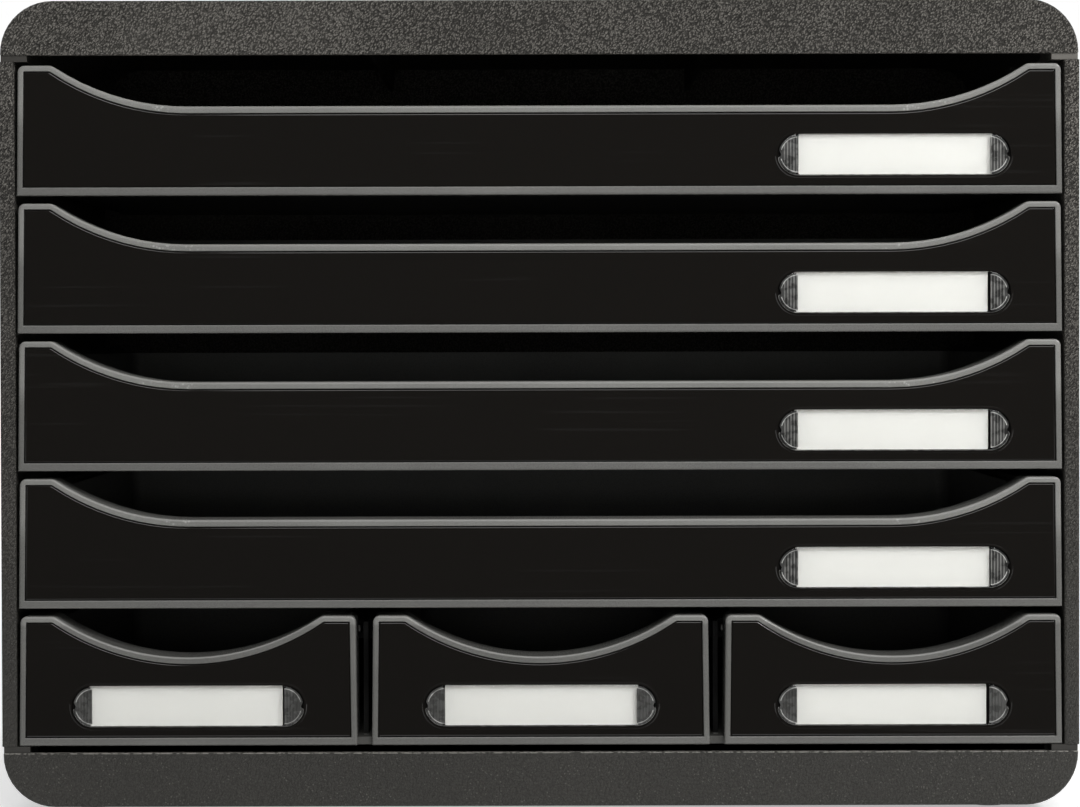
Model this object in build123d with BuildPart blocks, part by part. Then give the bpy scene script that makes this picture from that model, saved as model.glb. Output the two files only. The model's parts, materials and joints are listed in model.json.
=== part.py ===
from build123d import *
from math import sqrt
import os

# Desktop drawer unit: a moulded casing with four full-width drawers above a row of three small ones.
# Millimetres, +Z up, +Y away from the person facing the drawers, origin under the middle of the feet.

# Casing
casing_width = 355.0  # over the two side panels
casing_depth = 270.0  # over the two caps
cap_height = 17.9
cap_land = 0.6  # straight part of a cap's end, under its rounding
cap_inset = 0.4  # the caps' ends stand this far inside the side panels
cap_wall = 2.5
cap_edge_round = 1.2
cap_seam_round = 0.4
rib_thickness = 1.5
rib_height = 9.0
side_wall = 2.5
post_width = 5.0  # thickened front edge of a side panel
post_round = 0.8
flange_width = 9.2  # strip between a side panel and a cap
flange_height = 2.1
flange_inset = 0.6
tab_height = 5.0
tab_length = 14.0
tab_thickness = 1.8
tab_gap = 0.4
groove_rib = 1.7  # the two ribs that hold the back panel
groove_rib_reach = 4.0
back_panel_thickness = 2.0
back_panel_gap = 0.3
back_panel_tuck = 7.5  # how far its tongues reach into the caps
back_field_border = 14.0
back_field_depth = 0.5
back_field_round = 8.0

# Feet
foot_radius = 7.0
foot_height = 3.5
foot_seat_depth = 1.0
foot_seat_gap = 0.2
foot_from_side = 27.5
foot_from_front = 25.0
foot_round = 0.8

# Rows of drawers
row_pitch = 45.3
row_gap = 2.6  # between the fronts of two rows
wide_rows = 4
small_columns = 3
small_gap = 4.8  # between two small drawers
side_gap = 0.7  # between a drawer front and the side panel's post
base_gap = 0.2  # the lowest fronts start this far above the side panels' lower end
head_gap = 1.2  # over the highest front

# Drawer front
face_setback = 0.5  # the fronts lie this far behind the caps' front
front_taper = 0.5  # each side draws in this much towards the top
cutout_depth = 13.5
cutout_run = 44.5  # length of the curve at each end of a wide drawer's cut-out
shoulder_flat = 11.1
shoulder_round = 3.0
front_corner = 2.2
rim_side = 1.9
rim_cutout_extra = 0.35  # the rim grows by this much towards the bottom of the cut-out
rim_bottom = 2.6
rim_outer_round = 0.8
rim_inner_round = 0.3
insert_pocket = 2.9
plate_backing = 1.6
box_depth = 20.0  # depth of the hollow block behind a front
ledge_round = 1.2
closing_gap = 0.3

# Drawer tray
tray_wall = 1.8
tray_clear = 0.5  # between a small drawer's floor and the plate under it
body_inset = 5.8  # the tray's side wall stands this far inside its front's edge
body_drop = 4.7  # the tray's walls end this far below the top of its front
corner_round = 5.0
floor_round = 2.0
runner_thickness = 2.0
runner_reach = 0.1  # the sliding flange ends this far outside the front's edge
runner_gap = 0.3
rail_clear = 1.0  # between a rail's tip and the tray's side wall
guide_thickness = 1.6
stop_reach = 0.8  # face of a stop block outside the front's edge
stop_length = 8.0
lug_reach = 1.3
lug_length = 8.0
lug_from_back = 44.0  # front of a lug, which sets how far the drawer pulls out
rear_gap = 0.3

# Front panel set into the rim
panel_gap = 0.15
panel_recess = 0.3
panel_round = 0.6
clip_width = 8.0
clip_thickness = 1.2
clip_reach = 1.4  # beyond the back of the plate
clip_gap = 0.2
clip_drop = 20.7  # below the top of the front
clip_from_end = 22.0

# Label holder
label_length = 76.5
label_height = 13.6
label_level = 12.9  # centre above the foot of the front
label_from_end = 17.0
label_pocket = 1.7
label_gap = 0.15
bead_width = 0.9
bead_height = 0.25
window_thickness = 1.5
window_round = 0.35
pry_notch = 0.95
pry_notch_inset = 0.8
grip_start = 0.5  # first grip line beyond the straight part of the holder
grip_pitch = 1.03
grip_width = 0.45
grip_depth = 0.35
grip_count = 5
grip_border = 0.7
card_overlap = 0.4  # the card ends this far beyond the straight part of the holder
card_edge = 0.4
card_thickness = 0.3
card_play = 1.4  # room at each end of the card
card_shifts = (0.5, -1.0, -0.9, -0.5, -0.8, 0.3, -1.1)  # where each card has slid to

# Carrier of the small drawers
carrier_base = 2.5
carrier_side_gap = 0.9
carrier_front_gap = 0.5
carrier_key = 1.5
partition_thickness = 1.6
partition_setback = 12.0

# How far a cut runs past what it cuts, and how near two places count as one
overcut = 1.0
near = 0.01

# Places that follow from the sizes above
half_casing = casing_width / 2
half_cap = half_casing - cap_inset
cap_corner = cap_height - cap_land
cap_front = -casing_depth / 2
cap_back = casing_depth / 2
face_y = cap_front + face_setback
back_y = cap_back - face_setback
box_back = face_y + box_depth
runner_front = box_back + closing_gap
half_wide = half_casing - post_width - side_gap
half_small = (half_wide - (small_columns - 1) * small_gap / 2) / small_columns
small_pitch = 2 * half_small + small_gap
small_run = half_small - front_taper - shoulder_flat
front_height = row_pitch - row_gap
cut_level = front_height - cutout_depth
stand_height = foot_height - foot_seat_depth
lower_seam = stand_height + cap_height
panel_bottom = lower_seam + flange_height
lowest_row = panel_bottom + base_gap
highest_row = lowest_row + wide_rows * row_pitch
panel_top = highest_row + front_height + head_gap
upper_seam = panel_top + flange_height
overall_height = upper_seam + cap_height
plate_depth = insert_pocket + plate_backing
panel_thickness = insert_pocket - panel_recess
back_panel_face = back_y - 2 * groove_rib - back_panel_thickness - 2 * back_panel_gap
tray_back = back_panel_face - rear_gap
base_top = panel_bottom + carrier_base
floor_rise = base_top + tray_clear - lowest_row
floor_top = floor_rise + tray_wall
body_top = front_height - body_drop
runner_level = body_top - runner_thickness
rail_level = runner_level - runner_gap - runner_thickness
guide_level = body_top + runner_gap
stop_back = runner_front + stop_length
lug_front = tray_back - lug_from_back
wall_inner = half_casing - side_wall
rail_tip = half_wide - body_inset + rail_clear
foot_x = half_casing - foot_from_side
foot_y = casing_depth / 2 - foot_from_front
clip_level = front_height - clip_drop
card_length = label_length - label_height + 2 * card_overlap
card_height = label_height - 2 * card_edge
row_levels = [lowest_row + row * row_pitch for row in range(wide_rows + 1)]


def front_plane(centre_x, level, depth=0.0):
    """Upright plane facing the person, depth behind the drawer fronts."""
    return Plane(origin=(centre_x, face_y + depth, level), x_dir=(1, 0, 0), z_dir=(0, -1, 0))


def box_between(x_range, y_range, z_range, mode=Mode.ADD):
    """Upright block between two coordinates on each axis, in either order."""
    spans = [sorted(span) for span in (x_range, y_range, z_range)]
    size = [high - low for low, high in spans]
    middle = [(high + low) / 2 for low, high in spans]
    with Locations(tuple(middle)):
        Box(*size, mode=mode)


def front_outline(half, run, sink=0.0):
    """Front view of a drawer front, its foot on the X axis, with the finger cut-out, which sink deepens."""
    top_half = half - front_taper
    shoulder = top_half - shoulder_flat
    start = shoulder - run
    bottom = cut_level - sink
    with BuildSketch() as outline:
        with BuildLine():
            Polyline(
                (-shoulder, front_height),
                (-top_half, front_height),
                (-half, 0),
                (half, 0),
                (top_half, front_height),
                (shoulder, front_height),
            )
            TangentArc((start, bottom), (shoulder, front_height), tangent=(1, 0))
            TangentArc((-start, bottom), (-shoulder, front_height), tangent=(-1, 0))
            if start > near:
                Line((-start, bottom), (start, bottom))
        make_face()
        top_corners = outline.vertices().group_by(Axis.Y)[-1].sort_by(Axis.X)
        fillet([top_corners[0], top_corners[-1]], front_corner)
        shoulders = outline.vertices().filter_by(lambda v: abs(v.Y - front_height) < near)
        fillet(shoulders.filter_by(lambda v: abs(abs(v.X) - shoulder) < near), shoulder_round)
    return outline.sketch


def pocket_outline(half, run, gap=0.0):
    """Opening inside the rim, or with a gap the panel that drops into it."""
    with BuildSketch() as pocket:
        add(front_outline(half, run, rim_cutout_extra))
        offset(amount=-(rim_side + gap), kind=Kind.INTERSECTION)
        with Locations((0, (rim_bottom + gap) / 2)):
            Rectangle(2 * half, rim_bottom + gap, mode=Mode.SUBTRACT)
    return pocket.sketch


def clip_centres(half):
    """Places of a front panel's clips, near both ends and evenly between on a wide drawer."""
    count = 4 if half > half_small else 2
    reach = half - clip_from_end
    return [(-reach + 2 * reach * index / (count - 1), clip_level) for index in range(count)]


def label_centre(half):
    """Centre of a front's label holder: near the right end of a wide one, in the middle of a small one."""
    across = half - label_from_end - label_length / 2 if half > half_small else 0
    return (across, label_level)


def build_tray(centre_x, level, half, run):
    """One moulding: front rim and plate, the hollow block behind them, and the open tray with flanges."""
    body_half = half - body_inset
    with BuildPart() as tray:
        # Block with the finger cut-out, rounded along the back where fingers reach over it
        with BuildSketch(front_plane(centre_x, level)):
            add(front_outline(half, run))
        extrude(amount=-box_depth)
        back_edges = tray.faces().sort_by(Axis.Y)[-1].edges()
        fillet(back_edges.filter_by(lambda e: e.center().Z > level + cut_level - near), ledge_round)
        # Hollow behind the plate, open underneath
        with BuildSketch(front_plane(centre_x, level, plate_depth)):
            add(front_outline(half, run))
            offset(amount=-tray_wall, kind=Kind.INTERSECTION)
            with Locations((0, floor_rise / 2)):
                Rectangle(2 * (half - tray_wall - front_taper), floor_rise + overcut)
        extrude(amount=-(box_depth - plate_depth - tray_wall), mode=Mode.SUBTRACT)
        box_between(
            (centre_x - half - overcut, centre_x + half + overcut),
            (face_y + plate_depth, box_back + overcut),
            (level - overcut, level + floor_rise),
            mode=Mode.SUBTRACT,
        )
        # Open tray
        with BuildSketch(Plane.XY.offset(level + floor_rise)):
            with Locations((centre_x, (box_back + tray_back) / 2)):
                Rectangle(2 * body_half, tray_back - box_back)
        extrude(amount=body_top - floor_rise)
        with BuildSketch(Plane.XY.offset(level + floor_top)):
            with Locations((centre_x, (box_back + tray_back - tray_wall) / 2)):
                inside_half = body_half - tray_wall
                RectangleRounded(2 * inside_half, tray_back - tray_wall - box_back, corner_round)
        extrude(amount=body_top, mode=Mode.SUBTRACT)
        level_faces = tray.faces().filter_by(Axis.Z)
        floor = level_faces.filter_by(lambda f: abs(f.center().Z - level - floor_top) < near)[0]
        fillet(floor.outer_wire().edges(), floor_round)
        # Sliding flanges, and the lugs that meet the stops
        runner_z = (level + runner_level, level + body_top)
        for side in (-1, 1):
            wall_x = centre_x + side * (body_half - tray_wall / 2)
            flange_x = centre_x + side * (half + runner_reach)
            lug_x = centre_x + side * (half + lug_reach)
            box_between((wall_x, flange_x), (box_back, tray_back), runner_z)
            box_between((wall_x, lug_x), (lug_front, lug_front + lug_length), runner_z)
        # Slots for the panel's clips
        with BuildSketch(front_plane(centre_x, level)):
            with Locations(*clip_centres(half)):
                Rectangle(clip_width + 2 * clip_gap, clip_thickness + 2 * clip_gap)
        extrude(amount=-plate_depth, mode=Mode.SUBTRACT)
        # Pocket inside the rim, and the rim's rounded edges
        with BuildSketch(front_plane(centre_x, level)):
            add(pocket_outline(half, run))
        extrude(amount=-insert_pocket, mode=Mode.SUBTRACT)
        fillet(tray.faces().sort_by(Axis.Y)[0].outer_wire().edges(), rim_outer_round)
        fillet(tray.faces().sort_by(Axis.Y)[0].inner_wires()[0].edges(), rim_inner_round)
    return tray.part


def build_front_panel(centre_x, level, half, run):
    """Glossy panel in the rim, with the bead and pocket of the label holder, and clips at its back."""
    panel_plane = front_plane(centre_x, level, panel_recess)
    with BuildPart() as panel:
        with BuildSketch(panel_plane):
            add(pocket_outline(half, run, panel_gap))
        extrude(amount=-panel_thickness)
        fillet(panel.faces().sort_by(Axis.Y)[0].edges(), panel_round)
        # Bead round the label holder
        with BuildSketch(panel_plane):
            with Locations(label_centre(half)):
                SlotOverall(label_length + 2 * bead_width, label_height + 2 * bead_width)
        extrude(amount=bead_height, taper=45)
        with BuildSketch(panel_plane.offset(bead_height)):
            with Locations(label_centre(half)):
                SlotOverall(label_length + 2 * label_gap, label_height + 2 * label_gap)
        extrude(amount=-(label_pocket + bead_height), mode=Mode.SUBTRACT)
        # Clips through the plate
        with BuildSketch(panel_plane.offset(-panel_thickness)):
            with Locations(*clip_centres(half)):
                Rectangle(clip_width, clip_thickness)
        extrude(amount=-(plate_backing + clip_reach))
    return panel.part


def build_window(centre_x, level, half):
    """Clear cover of a label holder, hollow behind for the card, with grip lines and a notch at each end."""
    across, up = label_centre(half)
    centre = (centre_x + across, level + up)
    back_depth = panel_recess + label_pocket
    end_radius = label_height / 2
    straight_half = label_length / 2 - end_radius
    notch_x = label_length / 2 - pry_notch_inset
    with BuildPart() as window:
        with BuildSketch(front_plane(*centre, back_depth)):
            SlotOverall(label_length, label_height)
            with Locations((-notch_x, 0), (notch_x, 0)):
                Circle(pry_notch, mode=Mode.SUBTRACT)
        extrude(amount=window_thickness)
        fillet(window.faces().sort_by(Axis.Y)[0].edges(), window_round)
        # Room for the card
        with BuildSketch(front_plane(*centre, back_depth)):
            Rectangle(card_length + 2 * card_play, card_height + 2 * label_gap)
        extrude(amount=card_thickness + label_gap, mode=Mode.SUBTRACT)
        # Grip lines, each as tall as the rounded end allows
        with BuildSketch(front_plane(*centre, back_depth - window_thickness)):
            for index in range(grip_count):
                beyond = grip_start + index * grip_pitch
                reach = sqrt((end_radius - grip_border) ** 2 - (beyond + grip_width / 2) ** 2)
                with Locations((-straight_half - beyond, 0), (straight_half + beyond, 0)):
                    Rectangle(grip_width, 2 * reach)
        extrude(amount=-grip_depth, mode=Mode.SUBTRACT)
    return window.part


def build_card(centre_x, level, half, shift):
    """Paper label behind the clear cover, slid a little to one side."""
    across, up = label_centre(half)
    with BuildPart() as card:
        with BuildSketch(front_plane(centre_x + across + shift, level + up, panel_recess + label_pocket)):
            Rectangle(card_length, card_height)
        extrude(amount=card_thickness)
    return card.part


def cap_inner_reach(height):
    """How far from the middle the inside of a cap's rounded end lies, at a height above its open edge."""
    return half_cap - cap_corner + sqrt((cap_corner - cap_wall) ** 2 - (height - cap_land) ** 2)


def build_cap():
    """Shell with rounded ends, open underneath, on the upper seam. The base is the same moulding."""
    with BuildPart() as cap:
        with BuildSketch(front_plane(0, upper_seam, -face_setback)) as profile:
            with Locations((0, cap_height / 2)):
                Rectangle(2 * half_cap, cap_height)
            fillet(profile.vertices().group_by(Axis.Y)[-1], cap_corner)
        extrude(amount=-casing_depth)
        ends = cap.faces().filter_by(Axis.Y)
        fillet(ends.edges().filter_by(lambda e: e.center().Z > upper_seam + near), cap_edge_round)
        fillet(cap.faces().sort_by(Axis.Z)[0].edges(), cap_seam_round)
        with BuildSketch(front_plane(0, upper_seam, cap_wall - face_setback)) as hollow:
            with Locations((0, (cap_height - cap_wall) / 2)):
                Rectangle(2 * (half_cap - cap_wall), cap_height - cap_wall)
            fillet(hollow.vertices().group_by(Axis.Y)[-1], cap_corner - cap_wall)
        extrude(amount=-(casing_depth - 2 * cap_wall), mode=Mode.SUBTRACT)
        # Stiffening ribs from front to back, clear of the back panel's tongues
        half_rib = rib_thickness / 2
        rib_y = (cap_front + cap_wall / 2, back_panel_face - back_panel_gap)
        rib_z = (overall_height - cap_wall - rib_height, overall_height - cap_wall / 2)
        for rib_x in (-half_casing / 3, half_casing / 3):
            box_between((rib_x - half_rib, rib_x + half_rib), rib_y, rib_z)
    return cap.part


def build_base_cap():
    """The cap upside down under the casing, with the seats of its feet."""
    middle = (panel_bottom + panel_top) / 2
    with BuildPart() as base:
        mirror(build_cap(), about=Plane.XY.offset(middle))
        with BuildSketch(Plane.XY.offset(stand_height)):
            with GridLocations(2 * foot_x, 2 * foot_y, 2, 2):
                Circle(foot_radius + foot_seat_gap)
        extrude(amount=foot_seat_depth, mode=Mode.SUBTRACT)
    return base.part


def runner_set(level, wall_x, tip_x, block_x, back):
    """Rail, guide and stop block of one row, standing out from a wall towards the tray that they carry."""
    rail_z = (level + rail_level, level + rail_level + runner_thickness)
    guide_z = (level + guide_level, level + guide_level + guide_thickness)
    box_between((wall_x, tip_x), (runner_front, back), rail_z)
    box_between((wall_x, tip_x), (runner_front, back), guide_z)
    box_between((wall_x, block_x), (runner_front, stop_back), (sum(rail_z) / 2, sum(guide_z) / 2))


def build_side_panel():
    """Right side: wall, thick front post, seam flanges with tabs, rails of every row and the back groove."""
    panel_z = (panel_bottom, panel_top)
    root_x = wall_inner + side_wall / 2
    with BuildPart() as panel:
        box_between((wall_inner, half_casing), (face_y, back_y), panel_z)
        box_between((half_casing - post_width, half_casing), (face_y, runner_front), panel_z)
        upright = panel.edges().filter_by(Axis.Z)
        front_upright = upright.group_by(Axis.Y)[0]
        rear_corner = upright.group_by(Axis.Y)[-1].sort_by(Axis.X)[-1]
        fillet([*front_upright, rear_corner], post_round)
        flange_x = (half_casing - flange_width, half_casing - flange_inset)
        flange_y = (face_y + flange_inset / 2, back_y - flange_inset / 2)
        box_between(flange_x, flange_y, (lower_seam, panel_bottom))
        box_between(flange_x, flange_y, (panel_top, upper_seam))
        # Tabs that locate the caps
        tab_outer = cap_inner_reach(tab_height) - tab_gap
        tab_x = (tab_outer - tab_thickness, tab_outer)
        for tab_y in (-casing_depth / 3, 0, casing_depth / 3):
            tab_span = (tab_y - tab_length / 2, tab_y + tab_length / 2)
            box_between(tab_x, tab_span, (upper_seam - flange_height / 2, upper_seam + tab_height))
            box_between(tab_x, tab_span, (lower_seam - tab_height, lower_seam + flange_height / 2))
        # Rails
        for level in row_levels:
            runner_set(level, root_x, rail_tip, half_wide + stop_reach, back_panel_face)
        # Groove for the back panel
        groove_x = (wall_inner - groove_rib_reach, root_x)
        box_between(groove_x, (back_panel_face, back_panel_face + groove_rib), panel_z)
        box_between(groove_x, (back_y - groove_rib, back_y), panel_z)
    return panel.part


def build_back_panel():
    """Sheet in the side panels' grooves, with a tongue into each cap and a shallow field outside."""
    sheet_front = back_panel_face + groove_rib + back_panel_gap
    sheet_back = sheet_front + back_panel_thickness
    sheet_half = wall_inner - back_panel_gap
    sheet_low = panel_bottom + back_panel_gap
    sheet_high = panel_top - back_panel_gap
    tongue_half = half_casing - flange_width - 2 * back_panel_gap
    field_middle = (sheet_low + sheet_high) / 2
    field_plane = Plane(origin=(0, sheet_back, field_middle), x_dir=(-1, 0, 0), z_dir=(0, 1, 0))
    field_width = 2 * (sheet_half - back_field_border)
    field_height = sheet_high - sheet_low - 2 * back_field_border
    with BuildPart() as back:
        box_between((-sheet_half, sheet_half), (sheet_front, sheet_back), (sheet_low, sheet_high))
        tongue_z = (lower_seam - back_panel_tuck, upper_seam + back_panel_tuck)
        box_between((-tongue_half, tongue_half), (sheet_front, sheet_back), tongue_z)
        with BuildSketch(field_plane):
            RectangleRounded(field_width, field_height, back_field_round)
        extrude(amount=-back_field_depth, mode=Mode.SUBTRACT)
    return back.part


def build_carrier():
    """Base plate on the lower flanges, with the two partitions that carry the small drawers."""
    base_half = half_wide - carrier_side_gap
    base_y = (face_y + plate_depth + carrier_front_gap, tray_back)
    base_middle = panel_bottom + carrier_base / 2
    key_x = half_casing - flange_width - back_panel_gap
    partition_top = lowest_row + guide_level + guide_thickness
    half_partition = partition_thickness / 2
    with BuildPart() as carrier:
        box_between((-base_half, base_half), base_y, (panel_bottom, base_top))
        for side in (-1, 1):
            box_between((side * key_x, side * (key_x - carrier_key)), base_y, (lower_seam, base_middle))
        for index in range(small_columns - 1):
            wall_x = (index - (small_columns - 2) / 2) * small_pitch
            wall_span = (wall_x - half_partition, wall_x + half_partition)
            box_between(wall_span, (face_y + partition_setback, tray_back), (base_middle, partition_top))
            for side in (-1, 1):
                front_edge = wall_x + side * small_gap / 2
                tip_x = front_edge + side * (body_inset - rail_clear)
                runner_set(lowest_row, wall_x, tip_x, front_edge - side * stop_reach, tray_back)
    return carrier.part


def build_foot(foot_at):
    """Round rubber foot in its seat under the base."""
    with BuildPart() as foot:
        with BuildSketch(Plane.XY):
            with Locations(foot_at):
                Circle(foot_radius)
        extrude(amount=foot_height)
        fillet(foot.edges().group_by(Axis.Z)[0], foot_round)
    return foot.part


def write_piece(name, piece):
    """Label a finished piece and write it as its own file."""
    piece.label = name
    export_step(piece, f"parts/{name}.step")


def write_drawer(prefix, centre_x, level, half, run, shift):
    """Write the four pieces of one drawer."""
    write_piece(f"{prefix}_tray", build_tray(centre_x, level, half, run))
    write_piece(f"{prefix}_front_panel", build_front_panel(centre_x, level, half, run))
    write_piece(f"{prefix}_label_window", build_window(centre_x, level, half))
    write_piece(f"{prefix}_label_card", build_card(centre_x, level, half, shift))


os.makedirs("parts", exist_ok=True)

# Casing
write_piece("top_cap", build_cap())
write_piece("base_cap", build_base_cap())
right_side = build_side_panel()
write_piece("right_side_panel", right_side)
write_piece("left_side_panel", mirror(right_side, about=Plane.YZ))
write_piece("back_panel", build_back_panel())
write_piece("small_drawer_carrier", build_carrier())

# Feet
for end_name, foot_end in (("front", -foot_y), ("rear", foot_y)):
    for side_name, foot_side in (("left", -foot_x), ("right", foot_x)):
        write_piece(f"{end_name}_{side_name}_foot", build_foot((foot_side, foot_end)))

# Wide drawers, numbered from the top
for number in range(1, wide_rows + 1):
    wide_level = row_levels[wide_rows + 1 - number]
    write_drawer(f"wide_drawer_{number}", 0, wide_level, half_wide, cutout_run, card_shifts[number - 1])

# Small drawers, from the left
for column, column_name in enumerate(("left", "middle", "right")):
    small_x = (column - (small_columns - 1) / 2) * small_pitch
    small_shift = card_shifts[wide_rows + column]
    write_drawer(f"{column_name}_small_drawer", small_x, lowest_row, half_small, small_run, small_shift)
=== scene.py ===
"""Looks of a desktop drawer unit: the finishes of its moulded pieces, its label covers, cards and feet, and
the studio that it stands in.

Everything is in metres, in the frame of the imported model: +X to the right of the person who faces the
drawers, -Y towards that person, +Z up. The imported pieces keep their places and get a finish. The clear
covers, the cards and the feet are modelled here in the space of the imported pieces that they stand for.
"""

import json
import logging
import math
from collections.abc import Callable
from dataclasses import dataclass
from enum import Enum
from functools import cached_property

import bpy
from mathutils import Matrix, Vector

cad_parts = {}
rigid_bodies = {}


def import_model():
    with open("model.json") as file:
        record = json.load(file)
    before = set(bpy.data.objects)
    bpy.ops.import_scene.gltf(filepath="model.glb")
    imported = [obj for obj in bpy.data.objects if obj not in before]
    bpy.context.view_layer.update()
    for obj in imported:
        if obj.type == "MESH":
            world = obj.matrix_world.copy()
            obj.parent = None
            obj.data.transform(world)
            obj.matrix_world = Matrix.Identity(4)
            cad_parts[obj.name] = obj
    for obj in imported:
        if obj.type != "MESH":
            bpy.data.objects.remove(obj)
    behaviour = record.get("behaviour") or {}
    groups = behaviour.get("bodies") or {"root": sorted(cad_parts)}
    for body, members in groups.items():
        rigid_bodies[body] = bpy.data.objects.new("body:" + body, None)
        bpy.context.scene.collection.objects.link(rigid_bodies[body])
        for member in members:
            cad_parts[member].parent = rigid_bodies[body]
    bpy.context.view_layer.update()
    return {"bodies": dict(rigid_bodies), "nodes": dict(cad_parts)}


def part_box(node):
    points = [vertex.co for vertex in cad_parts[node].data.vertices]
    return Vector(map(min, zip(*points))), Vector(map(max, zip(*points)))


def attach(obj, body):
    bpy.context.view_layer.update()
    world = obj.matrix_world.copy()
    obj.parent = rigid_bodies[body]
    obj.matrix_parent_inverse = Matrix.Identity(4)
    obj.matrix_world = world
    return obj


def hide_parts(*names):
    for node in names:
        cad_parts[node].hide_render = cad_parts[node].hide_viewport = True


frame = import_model()

log = logging.getLogger("drawer_unit")

Colour = tuple[float, float, float, float]
Triple = tuple[float, float, float]
Socket = bpy.types.NodeSocket

MM = 0.001
TINY = 1e-6
FACES_FRONT = -0.99


class Slot(Enum):
    """The record's material slots for the pieces that are modelled here."""

    WINDOW = "window_clear"
    PAPER = "label_paper"
    RUBBER = "foot_rubber"


class Bench:
    """Adds and joins the nodes of one shader or group tree."""

    def __init__(self, tree: bpy.types.NodeTree) -> None:
        """Empties the tree and keeps it."""
        self.tree = tree
        self.tree.nodes.clear()

    def node(self, kind: str, inputs: dict | None = None, **settings: object) -> bpy.types.Node:
        """Adds one node.

        Args:
            kind: The node's type without its ShaderNode prefix, such as Bump.
            inputs: Values or output sockets for its inputs, by name or number.
            settings: Its other settings, such as operation.

        Returns:
            The new node.
        """
        made = self.tree.nodes.new(f"ShaderNode{kind}")
        for name, value in settings.items():
            setattr(made, name, value)
        for key, value in (inputs or {}).items():
            self.feed(made.inputs[key], value)
        return made

    def feed(self, socket: Socket, value: object) -> None:
        """Joins an output to an input socket, or sets the socket's own value.

        Args:
            socket: The input.
            value: An output socket, or a value.
        """
        if isinstance(value, Socket):
            self.tree.links.new(value, socket)
        else:
            socket.default_value = value

    def maths(self, operation: str, *values: object, clamp: bool = False) -> Socket:
        """Adds a Math node.

        Args:
            operation: Such as ADD or MULTIPLY.
            values: Numbers or sockets.
            clamp: Keeps the result from 0 to 1.

        Returns:
            The node's output.
        """
        inputs = dict(enumerate(values))
        return self.node("Math", inputs, operation=operation, use_clamp=clamp).outputs[0]

    def vector(self, operation: str, first: object, second: object) -> Socket:
        """Adds a Vector Math node.

        Args:
            operation: Such as ADD or SCALE.
            first: The vector.
            second: The other vector, or the scale.

        Returns:
            The node's vector output.
        """
        key = "Scale" if operation == "SCALE" else 1
        return self.node("VectorMath", {0: first, key: second}, operation=operation).outputs[0]

    def ramp(self, value: Socket, low: float, high: float, start: float = 0.0, end: float = 1.0) -> Socket:
        """Maps a value smoothly, and holds it outside its range.

        Args:
            value: The value.
            low: Where the result is start.
            high: Where the result is end.
            start: The result at low.
            end: The result at high.

        Returns:
            The mapped value.
        """
        inputs = {"Value": value, "From Min": low, "From Max": high, "To Min": start, "To Max": end}
        return self.node("MapRange", inputs, interpolation_type="SMOOTHSTEP").outputs["Result"]

    def blend(self, share: Socket | float, first: object, second: object) -> Socket:
        """Mixes two colours.

        Args:
            share: 0 gives the first colour and 1 the second.
            first: A colour or a socket.
            second: A colour or a socket.

        Returns:
            The mixed colour.
        """
        mix = self.node("Mix", data_type="RGBA")
        for name, value in (("Factor_Float", share), ("A_Color", first), ("B_Color", second)):
            self.feed(next(s for s in mix.inputs if s.identifier == name), value)
        return next(s for s in mix.outputs if s.identifier == "Result_Color")

    def axis(self, vector: Socket, name: str) -> Socket:
        """Gives one axis of a vector."""
        return self.node("SeparateXYZ", {0: vector}).outputs[name]

    def noise(self, place: Socket, scale: object, detail: float = 2.0) -> Socket:
        """Gives the grey value of soft noise."""
        return self.node("TexNoise", {"Vector": place, "Scale": scale, "Detail": detail}).outputs["Fac"]

    def cells(self, place: Socket, scale: float) -> Socket:
        """Gives the distance to the middle of the nearest cell."""
        return self.node("TexVoronoi", {"Vector": place, "Scale": scale}, feature="F1").outputs["Distance"]

    def effect(self, group: bpy.types.NodeTree, **inputs: object) -> dict[str, Socket]:
        """Places a shared effect with its own values.

        Args:
            group: The effect's node group.
            inputs: Values or sockets for its named inputs.

        Returns:
            Its outputs by name.
        """
        made = self.node("Group")
        made.node_tree = group
        for key, value in inputs.items():
            self.feed(made.inputs[key], value)
        return {socket.name: socket for socket in made.outputs}


class MaterialBench(Bench):
    """The bench of a new material, with its Principled shader and its Object coordinates."""

    def __init__(self, name: str) -> None:
        """Makes the material.

        Args:
            name: The material's name.
        """
        self.material = bpy.data.materials.new(name)
        self.material.use_nodes = True
        super().__init__(self.material.node_tree)
        self.shader = self.node("BsdfPrincipled")
        self.surface = self.node("OutputMaterial").inputs["Surface"]
        self.feed(self.surface, self.shader.outputs[0])
        self.place = self.node("TexCoord").outputs["Object"]

    def use(self, group: bpy.types.NodeTree, **inputs: object) -> dict[str, Socket]:
        """Places a shared effect that reads the Object coordinates."""
        return self.effect(group, Place=self.place, **inputs)

    def set(self, name: str, value: object) -> None:
        """Feeds one input of the shader."""
        self.feed(self.shader.inputs[name], value)

    def coat(self, colour: object, rough: object) -> None:
        """Feeds the shader's colour and roughness."""
        self.set("Base Color", colour)
        self.set("Roughness", rough)

    def emboss(self, height: Socket, relief: float) -> None:
        """Feeds the shader's normal with a bump, relief metres high."""
        bump = self.node("Bump", {"Height": height, "Distance": relief, "Strength": 1.0})
        self.set("Normal", bump.outputs[0])


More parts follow.
